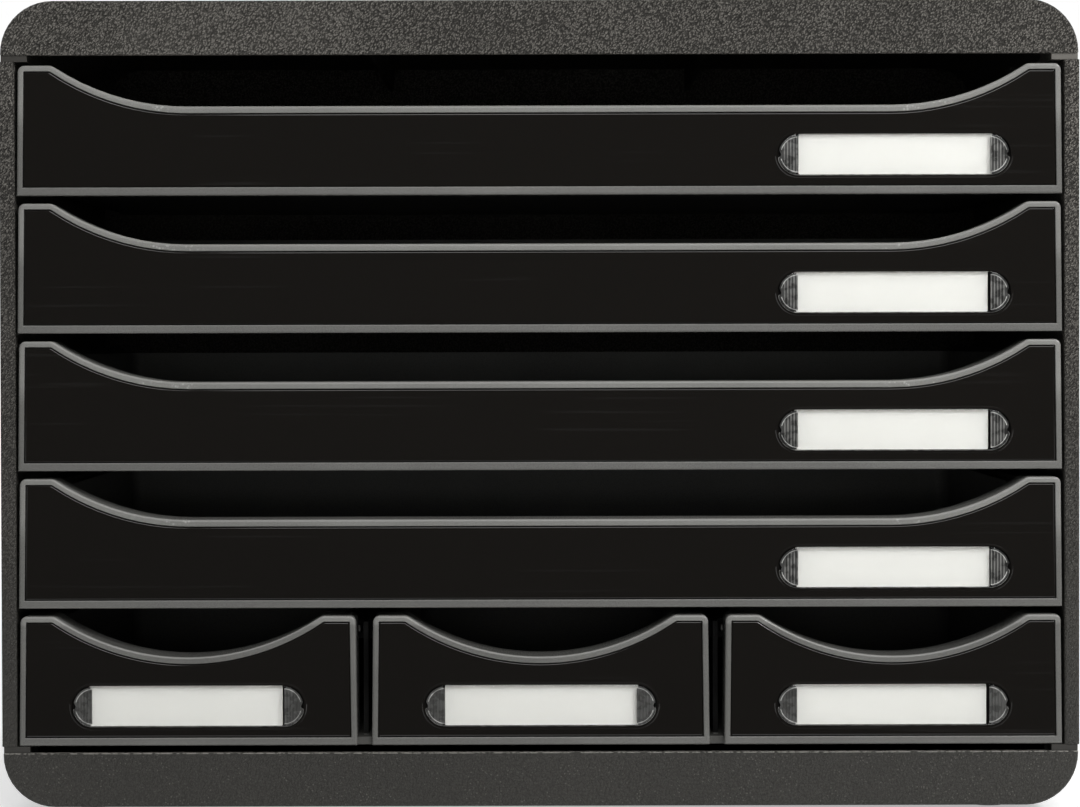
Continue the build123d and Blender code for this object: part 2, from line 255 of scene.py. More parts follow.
class Effects:
    """Effects that several finishes share, each a node group that is built once."""

    pebble_lean: float = -0.85
    pebble_draw: Triple = (1.5, 1.0, 0.9)
    hairline_turns: tuple[float, float] = (0.30, -0.55)
    hairline_draws: tuple[Triple, Triple] = ((6.0, 150.0, 700.0), (8.0, 150.0, 560.0))

    def start(self, name: str, inputs: list[str], outputs: list[str]) -> tuple[Bench, dict[str, Socket]]:
        """Makes an empty group.

        Args:
            name: The group's name.
            inputs: Names of its number inputs, which follow a Place input.
            outputs: Names of its number outputs.

        Returns:
            The group's bench and its inputs by name.
        """
        group = bpy.data.node_groups.new(name, "ShaderNodeTree")
        group.interface.new_socket("Place", in_out="INPUT", socket_type="NodeSocketVector")
        for wanted in inputs:
            group.interface.new_socket(wanted, in_out="INPUT", socket_type="NodeSocketFloat")
        for wanted in outputs:
            group.interface.new_socket(wanted, in_out="OUTPUT", socket_type="NodeSocketFloat")
        bench = Bench(group)
        given = group.nodes.new("NodeGroupInput")
        return bench, {socket.name: socket for socket in given.outputs if socket.name}

    def close(self, bench: Bench, **results: Socket) -> bpy.types.NodeTree:
        """Joins the results to the group's outputs.

        Args:
            bench: The group's bench.
            results: Sockets by the outputs' names.

        Returns:
            The finished group.
        """
        end = bench.tree.nodes.new("NodeGroupOutput")
        for name, socket in results.items():
            bench.tree.links.new(socket, end.inputs[name])
        return bench.tree

    @cached_property
    def grain(self) -> bpy.types.NodeTree:
        """Leather-like pebbles drawn out to the upper right: Height for a bump, Shade from pits to peaks."""
        bench, given = self.start("moulded_grain", ["Cell", "Warp"], ["Height", "Shade"])
        per_cell = bench.maths("DIVIDE", 1.0, given["Cell"])
        turn = (0.0, self.pebble_lean, 0.0)
        lean = {"Vector": given["Place"], "Rotation": turn, "Scale": self.pebble_draw}
        drawn = bench.node("Mapping", lean, vector_type="TEXTURE").outputs[0]
        place = bench.vector("SCALE", drawn, per_cell)
        clouds = bench.node("TexNoise", {"Vector": place, "Scale": 0.75, "Detail": 1.0})
        centred = bench.vector("SUBTRACT", clouds.outputs["Color"], (0.5, 0.5, 0.5))
        shift = bench.vector("SCALE", centred, given["Warp"])
        warped = bench.vector("ADD", place, shift)
        away = bench.cells(warped, 1.0)
        dome = bench.maths("SUBTRACT", 1.0, bench.maths("MULTIPLY", away, away))
        crumbs = bench.maths("MULTIPLY", bench.noise(place, 2.1, 1.0), 0.7)
        height = bench.maths("ADD", dome, crumbs)
        return self.close(bench, Height=height, Shade=bench.ramp(height, 0.95, 1.45))

    @cached_property
    def drift(self) -> bpy.types.NodeTree:
        """Slow change over a moulding, which cools unevenly: from -0.5 to 0.5 times Contrast."""
        bench, given = self.start("slow_drift", ["Size", "Contrast"], ["Drift"])
        per_size = bench.maths("DIVIDE", 1.0, given["Size"])
        inputs = {"Vector": given["Place"], "Scale": per_size, "Detail": 2.0, "Roughness": 0.55}
        clouds = bench.node("TexNoise", inputs)
        centred = bench.maths("SUBTRACT", clouds.outputs["Fac"], 0.5)
        return self.close(bench, Drift=bench.maths("MULTIPLY", centred, given["Contrast"]))

    @cached_property
    def dust(self) -> bpy.types.NodeTree:
        """Thin dust with a few specks on surfaces that face up."""
        bench, given = self.start("settled_dust", ["Amount"], ["Mask"])
        facing = bench.node("NewGeometry").outputs["Normal"]
        upward = bench.ramp(bench.axis(facing, "Z"), 0.5, 0.95)
        veil = bench.ramp(bench.noise(given["Place"], 14.0, 4.0), 0.35, 0.75, 0.1, 0.5)
        speck = bench.ramp(bench.cells(given["Place"], 300.0), 0.04, 0.1, 1.0, 0.0)
        laid = bench.maths("MULTIPLY", bench.maths("MAXIMUM", veil, speck), upward)
        return self.close(bench, Mask=bench.maths("MULTIPLY", laid, given["Amount"]))

    @cached_property
    def hairlines(self) -> bpy.types.NodeTree:
        """Fine straight marks that wiping leaves, in two directions across a front and only in places."""
        bench, given = self.start("hairlines", ["Density"], ["Mask"])
        lines = []
        for turn, stretch in zip(self.hairline_turns, self.hairline_draws):
            inputs = {"Vector": given["Place"], "Rotation": (0.0, turn, 0.0), "Scale": stretch}
            turned = bench.node("Mapping", inputs).outputs[0]
            lines.append(bench.ramp(bench.noise(turned, 1.0, 0.0), 0.70, 0.76))
        crossed = bench.maths("MAXIMUM", *lines)
        where = bench.ramp(bench.noise(given["Place"], 24.0, 1.0), 0.45, 0.7)
        marked = bench.maths("MULTIPLY", crossed, where)
        return self.close(bench, Mask=bench.maths("MULTIPLY", marked, given["Density"]))


effects = Effects()


@dataclass(frozen=True)
class Finish:
    """A finish of the unit: one material with a Principled shader."""

    name: str

    def material(self) -> bpy.types.Material:
        """Builds the material.

        Returns:
            The new material.
        """
        bench = MaterialBench(self.name)
        self.paint(bench)
        return bench.material

    def paint(self, bench: MaterialBench) -> None:
        """Joins the finish's nodes to the shader.

        Args:
            bench: The material's bench.
        """
        raise NotImplementedError


@dataclass(frozen=True)
class GrainedPlastic(Finish):
    """Dark casing plastic with a moulded leather-like grain between two heights, smooth outside them.

    The grain's tone and relief are strongest at the top of the unit and fade towards its foot, where the
    colour
    also darkens: painted shade, as if less light reached the foot. A finish may have light flecks in places,
    which are painted glints, and a broken line of painted highlight above another height.
    """

    pit: Colour = (0.046, 0.043, 0.038, 1.0)
    peak: Colour = (0.225, 0.212, 0.190, 1.0)
    # Painted shade: the colour that the grain darkens to near the unit's foot.
    foot: Colour = (0.026, 0.025, 0.022, 1.0)
    foot_shade_share: float = 0.6
    smooth: Colour = (0.085, 0.080, 0.072, 1.0)
    smooth_below: Colour = (0.040, 0.038, 0.034, 1.0)
    dusty: Colour = (0.16, 0.155, 0.145, 1.0)
    cell: float = 0.62 * MM
    relief: float = 1.1 * MM
    shade_height: float = 0.26
    least_lit_share: float = 0.22
    grain_low: float = -1.0
    grain_high: float = 1.0
    # Painted highlight: a broken light line above this height, on the base cap's top edge.
    highlight_above: float = 1.0
    painted_highlight: Colour = (0.24, 0.23, 0.21, 1.0)
    spots_per_metre: float = 900.0
    # Painted glints: share of light flecks, standing in for grain peaks that catch the lamps.
    fleck_glints: float = 0.0
    fleck_glints_per_metre: float = 820.0
    patches_per_metre: float = 160.0

    def paint(self, bench: MaterialBench) -> None:
        """Joins the finish's nodes to the shader.

        Args:
            bench: The material's bench.
        """
        grain = bench.use(effects.grain, Cell=self.cell, Warp=0.9)
        drift = bench.use(effects.drift, Size=0.07, Contrast=0.6)
        dust = bench.use(effects.dust, Amount=0.3)
        up = bench.axis(bench.place, "Z")
        over = bench.maths("GREATER_THAN", up, self.grain_low)
        under = bench.maths("LESS_THAN", up, self.grain_high)
        grained = bench.maths("MULTIPLY", over, under)
        # Painted shade: towards the foot the grain's tone and relief fade, as if less lit there.
        lit_share = bench.ramp(up, 0.0, self.shade_height, self.least_lit_share, 1.0)
        peaks = bench.maths("MULTIPLY", grain["Shade"], lit_share)
        tone = bench.maths("ADD", peaks, drift["Drift"], clamp=True)
        plain = bench.blend(over, self.smooth_below, self.smooth)
        # Painted shade: the colour darkens towards the foot.
        low = bench.ramp(up, 0.0, self.shade_height, self.foot_shade_share, 0.0)
        moulded = bench.blend(low, bench.blend(tone, self.pit, self.peak), self.foot)
        skin = bench.blend(grained, plain, moulded)
        # Painted highlight: a broken light line along the top edge, joined with the painted glint flecks.
        broken = bench.ramp(bench.noise(bench.place, self.spots_per_metre, 1.0), 0.34, 0.56)
        edge = bench.maths("GREATER_THAN", up, self.highlight_above)
        # Painted glints: light flecks in patches.
        dots = bench.ramp(bench.cells(bench.place, self.fleck_glints_per_metre), 0.12, 0.26, self.fleck_glints, 0.0)
        patches = bench.ramp(bench.noise(bench.place, self.patches_per_metre), 0.40, 0.60)
        fleck_glint = bench.maths("MULTIPLY", dots, patches)
        painted_highlight = bench.maths("MAXIMUM", bench.maths("MULTIPLY", broken, edge), fleck_glint)
        skin = bench.blend(painted_highlight, skin, self.painted_highlight)
        skin = bench.blend(dust["Mask"], skin, self.dusty)
        bench.coat(skin, bench.ramp(grain["Shade"], 0.0, 1.0, 0.60, 0.30))
        bench.set("Specular IOR Level", 0.32)
        height = bench.maths("MULTIPLY", grain["Height"], bench.maths("MULTIPLY", grained, lit_share))
        bench.emboss(height, self.relief)


@dataclass(frozen=True)
class SatinPlastic(Finish):
    """Grey satin plastic of the trays and frames, with painted highlights and a lighter top to each row."""

    row_foot: float = 0.0
    row_pitch: float = 1.0
    body: Colour = (0.138, 0.137, 0.129, 1.0)
    # Lighter grey of the moulding's drift and of the painted light on each row's upper part.
    light: Colour = (0.245, 0.244, 0.230, 1.0)
    # Colour of dust specks and of the painted glint specks.
    speck: Colour = (0.48, 0.48, 0.46, 1.0)
    # Painted highlight along each front's rounded upper edge.
    bead_highlight_tone: Colour = (0.33, 0.33, 0.315, 1.0)
    small_row_share: float = 0.2
    top_light_from: float = 20.0 * MM
    top_light_to: float = 30.0 * MM
    cell: float = 0.30 * MM
    relief: float = 0.010 * MM
    # Where the painted glint specks lie along each wide frame.
    glints_from: float = 112.0 * MM
    glints_to: float = 134.0 * MM
    glints_fade: float = 5.0 * MM
    front_before: float = -130.0 * MM
    wide_above: float = 63.0 * MM
    glint_specks_per_metre: float = 950.0
    patches_per_metre: float = 240.0

    def paint(self, bench: MaterialBench) -> None:
        """Joins the finish's nodes to the shader.

        Args:
            bench: The material's bench.
        """
        grain = bench.use(effects.grain, Cell=self.cell, Warp=0.6)
        drift = bench.use(effects.drift, Size=0.05, Contrast=0.9)
        dust = bench.use(effects.dust, Amount=0.10)
        painted_light_zone = self.painted_light_zone(bench)
        # Bright specks: a glossier spot in the roughness and a painted glint in the colour.
        wear_and_glints = bench.maths("MULTIPLY", self.glint_specks(bench), painted_light_zone)
        # Painted light: the upper part of each row is lighter, on top of the moulding's drift.
        tone = bench.maths("ADD", drift["Drift"], painted_light_zone, clamp=True)
        dusty = bench.blend(dust["Mask"], bench.blend(tone, self.body, self.light), self.speck)
        # Painted highlight line along each front's rounded upper edge.
        tinted = bench.blend(self.bead_highlight(bench), dusty, self.bead_highlight_tone)
        rough = bench.maths("MULTIPLY_ADD", grain["Shade"], 0.10, 0.27)
        rough = bench.maths("MULTIPLY_ADD", wear_and_glints, -0.12, rough)
        bench.coat(bench.blend(wear_and_glints, tinted, self.speck), rough)
        bench.emboss(grain["Height"], self.relief)

    def painted_light_zone(self, bench: MaterialBench) -> Socket:
        """The upper part of each row, painted lighter as if lit from above, less so on the small drawers.

        Args:
            bench: The material's bench.

        Returns:
            The mask of the upper parts.
        """
        up = bench.axis(bench.place, "Z")
        above = bench.maths("SUBTRACT", up, self.row_foot)
        in_row = bench.maths("FLOORED_MODULO", above, self.row_pitch)
        upper = bench.ramp(in_row, self.top_light_from, self.top_light_to, 0.0, 0.75)
        share = bench.ramp(up, self.wide_above - MM, self.wide_above, self.small_row_share, 1.0)
        return bench.maths("MULTIPLY", upper, share)

    def bead_highlight(self, bench: MaterialBench) -> Socket:
        """The rounded upper edge of each front, painted with a light line as a highlight.

        Args:
            bench: The material's bench.

        Returns:
            The mask of the edge.
        """
        facing = bench.axis(bench.node("NewGeometry").outputs["Normal"], "Z")
        starts = bench.ramp(facing, 0.25, 0.50)
        ends = bench.ramp(facing, 0.80, 0.95, 0.8, 0.0)
        return bench.maths("MULTIPLY", bench.maths("MULTIPLY", starts, ends), self.in_front(bench))

    def in_front(self, bench: MaterialBench) -> Socket:
        """The mask of the frames' front faces and edges."""
        return bench.maths("LESS_THAN", bench.axis(bench.place, "Y"), self.front_before)

    def glint_specks(self, bench: MaterialBench) -> Socket:
        """Small bright specks of painted glint on the wide drawers' frames where each cut-out starts to
        rise.

        Args:
            bench: The material's bench.

        Returns:
            The mask of the specks.
        """
        aside = bench.maths("ABSOLUTE", bench.axis(bench.place, "X"))
        start = bench.ramp(aside, self.glints_from - self.glints_fade, self.glints_from + self.glints_fade)
        end = bench.ramp(aside, self.glints_to - self.glints_fade, self.glints_to + self.glints_fade, 1.0, 0.0)
        above = bench.maths("GREATER_THAN", bench.axis(bench.place, "Z"), self.wide_above)
        wide = bench.maths("MULTIPLY", above, self.in_front(bench))
        dots = bench.ramp(bench.cells(bench.place, self.glint_specks_per_metre), 0.20, 0.45, 1.0, 0.0)
        some = bench.ramp(bench.noise(bench.place, self.patches_per_metre, 1.0), 0.46, 0.60)
        painted_light_zone = bench.maths("MULTIPLY", bench.maths("MULTIPLY", start, end), wide)
        return bench.maths("MULTIPLY", painted_light_zone, bench.maths("MULTIPLY", dots, some))


@dataclass(frozen=True)
class CarrierPlastic(Finish):
    """Grey plastic of the small drawers' carrier, painted near-black as shade everywhere but on its base
    plate.
    """

    plate_foot: float = 0.0
    plate_top: float = 0.0
    # Painted shade: near-black for all of the carrier but its base plate.
    dark: Colour = (0.006, 0.006, 0.006, 1.0)
    plate: Colour = (0.150, 0.149, 0.140, 1.0)
    fade: float = 0.4 * MM
    cell: float = 0.30 * MM
    relief: float = 0.010 * MM

    def paint(self, bench: MaterialBench) -> None:
        """Joins the finish's nodes to the shader.

        Args:
            bench: The material's bench.
        """
        grain = bench.use(effects.grain, Cell=self.cell, Warp=0.6)
        drift = bench.use(effects.drift, Size=0.02, Contrast=0.5)
        up = bench.axis(bench.place, "Z")
        # Painted shade above and below the base plate.
        above = bench.ramp(up, self.plate_top, self.plate_top + self.fade)
        below = bench.maths("LESS_THAN", up, self.plate_foot)
        beside = bench.maths("MAXIMUM", above, below)
        tone = bench.maths("ADD", beside, drift["Drift"], clamp=True)
        rough = bench.maths("MULTIPLY_ADD", grain["Shade"], 0.15, 0.60)
        bench.coat(bench.blend(tone, self.plate, self.dark), rough)
        bench.set("Specular IOR Level", 0.1)
        bench.emboss(grain["Height"], self.relief)


@dataclass(frozen=True)
class GlossPlastic(Finish):
    """Black high-gloss plastic of the front panels, with faint waviness, hairlines and dust."""

    body: Colour = (0.0064, 0.0054, 0.0044, 1.0)
    wear_and_glints: Colour = (0.016, 0.015, 0.014, 1.0)
    wave: float = 40.0 * MM
    wave_relief: float = 0.04 * MM

    def paint(self, bench: MaterialBench) -> None:
        """Joins the finish's nodes to the shader.

        Args:
            bench: The material's bench.
        """
        lines = bench.use(effects.hairlines, Density=0.35)
        dust = bench.use(effects.dust, Amount=0.25)
        drift = bench.use(effects.drift, Size=self.wave, Contrast=1.0)
        marks = bench.maths("MAXIMUM", lines["Mask"], dust["Mask"])
        rough = bench.maths("MULTIPLY_ADD", marks, 0.25, 0.07)
        bench.coat(bench.blend(marks, self.body, self.wear_and_glints), rough)
        bench.emboss(drift["Drift"], self.wave_relief)


@dataclass(frozen=True)
class ClearPlastic(Finish):
    """Clear plastic of the label covers. Lamps shine through it, so that the card behind is lit."""

    tint: Colour = (0.97, 0.975, 0.97, 1.0)
    hazed: Colour = (0.92, 0.925, 0.92, 1.0)
    shade: Colour = (0.92, 0.925, 0.92, 1.0)

    def paint(self, bench: MaterialBench) -> None:
        """Joins the finish's nodes to the shader.

        Args:
            bench: The material's bench.
        """
        lines = bench.use(effects.hairlines, Density=0.4)
        rough = bench.maths("MULTIPLY_ADD", lines["Mask"], 0.12, 0.03)
        bench.coat(bench.blend(lines["Mask"], self.tint, self.hazed), rough)
        bench.set("IOR", 1.49)
        bench.set("Transmission Weight", 1.0)
        through = bench.node("BsdfTransparent", {"Color": self.shade})
        shadow = bench.node("LightPath").outputs["Is Shadow Ray"]
        mixed = bench.node("MixShader", {0: shadow, 1: bench.shader.outputs[0], 2: through.outputs[0]})
        bench.feed(bench.surface, mixed.outputs[0])


@dataclass(frozen=True)
class FrostedPlastic(Finish):
    """Parts of the covers that look grey to white: grip ridges, hazy skin, and edges with a painted
    highlight.
    """

    clear: Colour = (0.085, 0.085, 0.081, 1.0)
    scuffed: Colour = (0.20, 0.20, 0.19, 1.0)
    scuffs_per_metre: float = 420.0

    def paint(self, bench: MaterialBench) -> None:
        """Joins the finish's nodes to the shader.

        Args:
            bench: The material's bench.
        """
        tone = bench.ramp(bench.noise(bench.place, self.scuffs_per_metre), 0.35, 0.62)
        rough = bench.maths("MULTIPLY_ADD", tone, 0.25, 0.2)
        bench.coat(bench.blend(tone, self.clear, self.scuffed), rough)


@dataclass(frozen=True)
class CardPaper(Finish):
    """Plain white card with a fibrous surface."""

    sheet: Colour = (0.76, 0.755, 0.725, 1.0)
    fibre: Colour = (0.71, 0.705, 0.67, 1.0)
    fibres_per_metre: float = 2600.0
    relief: float = 0.01 * MM

    def paint(self, bench: MaterialBench) -> None:
        """Joins the finish's nodes to the shader.

        Args:
            bench: The material's bench.
        """
        inputs = {"Vector": bench.place, "Scale": self.fibres_per_metre, "Detail": 3.0, "Distortion": 1.2}
        fibres = bench.node("TexNoise", inputs).outputs["Fac"]
        drift = bench.use(effects.drift, Size=0.03, Contrast=0.6)
        strands = bench.ramp(fibres, 0.45, 0.8, 0.0, 0.7)
        tone = bench.maths("ADD", strands, drift["Drift"], clamp=True)
        bench.coat(bench.blend(tone, self.sheet, self.fibre), 0.85)
        bench.emboss(fibres, self.relief)


@dataclass(frozen=True)
class FootRubber(Finish):
    """Black rubber with a dull, slightly mottled skin."""

    body: Colour = (0.012, 0.012, 0.012, 1.0)
    bloom: Colour = (0.040, 0.040, 0.039, 1.0)
    cell: float = 0.25 * MM
    relief: float = 0.01 * MM

    def paint(self, bench: MaterialBench) -> None:
        """Joins the finish's nodes to the shader.

        Args:
            bench: The material's bench.
        """
        grain = bench.use(effects.grain, Cell=self.cell, Warp=0.5)
        drift = bench.use(effects.drift, Size=0.006, Contrast=1.2)
        tone = bench.maths("ADD", drift["Drift"], 0.3, clamp=True)
        rough = bench.maths("MULTIPLY_ADD", grain["Shade"], 0.15, 0.68)
        bench.coat(bench.blend(tone, self.body, self.bloom), rough)
        bench.emboss(grain["Height"], self.relief)


@dataclass(frozen=True)
class FloorPaint(Finish):
    """Pale matt studio floor, lifted towards white where it is seen, mirrored or looked at through glass."""

    pale: Colour = (0.93, 0.93, 0.93, 1.0)
    shade: Colour = (0.90, 0.90, 0.90, 1.0)
    lift: float = 0.45

    def paint(self, bench: MaterialBench) -> None:
        """Joins the finish's nodes to the shader.

        Args:
            bench: The material's bench.
        """
        drift = bench.use(effects.drift, Size=0.4, Contrast=1.0)
        tone = bench.maths("ADD", drift["Drift"], 0.5, clamp=True)
        bench.coat(bench.blend(tone, self.pale, self.shade), 0.9)
        path = bench.node("LightPath").outputs
        seen = bench.maths("MAXIMUM", path["Is Camera Ray"], path["Is Glossy Ray"])
        seen = bench.maths("MAXIMUM", seen, path["Is Transmission Ray"])
        straight = bench.maths("LESS_THAN", path["Diffuse Depth"], 0.5)
        seen = bench.maths("MULTIPLY", seen, straight)
        bench.set("Emission Color", (1.0, 1.0, 1.0, 1.0))
        bench.set("Emission Strength", bench.maths("MULTIPLY", seen, self.lift))


class Pick(Enum):
    """What a selection takes, in the order of Blender's select modes."""

    POINTS = "VERT"
    EDGES = "EDGE"
    FACES = "FACE"


class Modeller:
    """Shapes one mesh with Blender's own tools, with its faces, edges and points picked by place."""

    def __init__(self, name: str, add: Callable, **settings: object) -> None:
        """Adds a primitive to start from.

        Args:
            name: The piece's name.
            add: The operator that adds it.
            settings: The operator's settings.
        """
        bpy.ops.object.select_all(action="DESELECT")
        add(**settings)
        self.piece = bpy.context.object
        self.piece.name = name
        bpy.ops.object.transform_apply(location=True, rotation=True, scale=True)

    @property
    def mesh(self) -> bpy.types.Mesh:
        """The piece's mesh."""
        return self.piece.data

    def pick(self, kind: Pick, wanted: Callable[..., bool]) -> None:
        """Selects the points, edges or faces for which wanted is true, in edit mode.

        Args:
            kind: Which of the three.
            wanted: Takes a point's place, an edge's two ends, or a face's middle and normal.
        """
        self.close()
        points = self.mesh.vertices
        parts = {
            Pick.POINTS: (points, lambda point: (point.co,)),
            Pick.EDGES: (self.mesh.edges, lambda edge: tuple(points[i].co for i in edge.vertices)),
            Pick.FACES: (self.mesh.polygons, lambda face: (face.center, face.normal)),
        }
        for items, _ in parts.values():
            items.foreach_set("select", [False] * len(items))
        items, measures = parts[kind]
        for item in items:
            item.select = wanted(*measures(item))
        self.edit(kind)

    def edit(self, kind: Pick) -> None:
        """Enters edit mode, where points, edges or faces are picked."""
        bpy.context.tool_settings.mesh_select_mode = tuple(kind is each for each in Pick)
        bpy.ops.object.mode_set(mode="EDIT")

    def close(self) -> None:
        """Leaves edit mode."""
        if self.piece.mode != "OBJECT":
            bpy.ops.object.mode_set(mode="OBJECT")

    def move(self, offset: Triple) -> None:
        """Moves what is selected."""
        bpy.ops.transform.translate(value=offset)

    def scale(self, factors: Triple) -> None:
        """Scales what is selected about the origin."""
        bpy.ops.transform.resize(value=factors, center_override=(0.0, 0.0, 0.0))

    def bevel(self, width: float, segments: int) -> None:
        """Rounds the selected edges."""
        bpy.ops.mesh.bevel(offset=width, segments=segments, affect="EDGES")

    def inset(self, width: float, each: bool = False) -> None:
        """Insets the selected faces, together or each by itself."""
        bpy.ops.mesh.inset(thickness=width, use_individual=each, use_boundary=True)

    def cut(self, place: Triple, normal: Triple) -> None:
        """Cuts the whole mesh along a plane, and keeps both sides.

        Args:
            place: A point of the plane.
            normal: The plane's normal.
        """
        self.close()
        self.edit(Pick.FACES)
        bpy.ops.mesh.select_all(action="SELECT")
        bpy.ops.mesh.bisect(plane_co=place, plane_no=normal)

    def finish(self, smooth_below: float) -> bpy.types.Object:
        """Turns the normals outwards and shades smoothly across shallow edges.

        Args:
            smooth_below: The largest angle between two faces that still looks smooth, in degrees.

        Returns:
            The finished piece.
        """
        self.close()
        self.edit(Pick.FACES)
        bpy.ops.mesh.select_all(action="SELECT")
        bpy.ops.mesh.normals_make_consistent(inside=False)
        self.close()
        bpy.ops.object.shade_smooth_by_angle(angle=math.radians(smooth_below))
        return self.piece


def copy_to(master: bpy.types.Object, name: str, place: Triple) -> bpy.types.Object:
    """Copies a piece that was modelled round the origin, with its place in its own mesh.

    Args:
        master: The piece to copy.
        name: The copy's name.
        place: Where its middle goes.

    Returns:
        The copy.
    """
    copy = master.copy()
    copy.data = master.data.copy()
    copy.name = copy.data.name = name
    copy.data.transform(Matrix.Translation(place))
    bpy.context.scene.collection.objects.link(copy)
    return copy


def hand_over(piece: bpy.types.Object, body: str, node: str) -> None:
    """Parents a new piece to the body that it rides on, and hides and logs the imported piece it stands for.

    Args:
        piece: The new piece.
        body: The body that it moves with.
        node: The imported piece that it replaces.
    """
    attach(piece, body)
    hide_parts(node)
    log.info("%s: modelled, rides on %s, in place of %s", piece.name, body, node)


def dress(node: str, material: bpy.types.Material) -> None:
    """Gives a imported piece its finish.

    Args:
        node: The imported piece's name.
        material: The finish.
    """
    mesh = frame["nodes"][node].data
    mesh.materials.clear()
    mesh.materials.append(material)
    log.info("%s: packed shape, finish %s", node, material.name)


@dataclass
class Feet:
    """Four round rubber feet, each pressed into the base with a grooved sole."""

    points: int = 48
    edge: float = 0.5 * MM
    land: float = 1.1 * MM
    groove: float = 0.9 * MM
    groove_side: float = 0.15 * MM
    groove_depth: float = 0.45 * MM
    middle: float = 1.6 * MM
    middle_side: float = 0.3 * MM
    middle_depth: float = 0.7 * MM

    def build(self) -> None:
        """Models one foot and places its four copies."""
        nodes = [node for node in frame["nodes"] if node.endswith("_foot")]
        low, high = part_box(nodes[0])
        master = self.model((high.x - low.x) / 2, high.z - low.z)
        master.data.materials.append(FootRubber("foot_black").material())
        for node in nodes:
            low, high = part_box(node)
            hand_over(copy_to(master, f"{node}_pad", (low + high) / 2), "casing", node)
        bpy.data.objects.remove(master)

    def model(self, radius: float, height: float) -> bpy.types.Object:
        """Models a foot round the origin.

        Args:
            radius: The foot's radius.
            height: Its height.

        Returns:
            The foot.
        """
        add = bpy.ops.mesh.primitive_cylinder_add
        work = Modeller("foot_master", add, vertices=self.points, radius=radius, depth=height)
        work.pick(Pick.FACES, lambda middle, normal: normal.z < -0.9)
        for width, rise in (
            (self.land, 0.0),
            (self.groove_side, self.groove_depth),
            (self.groove, 0.0),
            (self.groove_side, -self.groove_depth),
            (self.middle, 0.0),
            (self.middle_side, self.middle_depth),
        ):
            work.inset(width)
            work.move((0.0, 0.0, rise))
        rim = radius - self.edge
        work.pick(Pick.EDGES, lambda a, b: min(a.xy.length, b.xy.length) > rim and abs(a.z - b.z) < TINY)
        work.bevel(self.edge, segments=3)
        return work.finish(smooth_below=40.0)


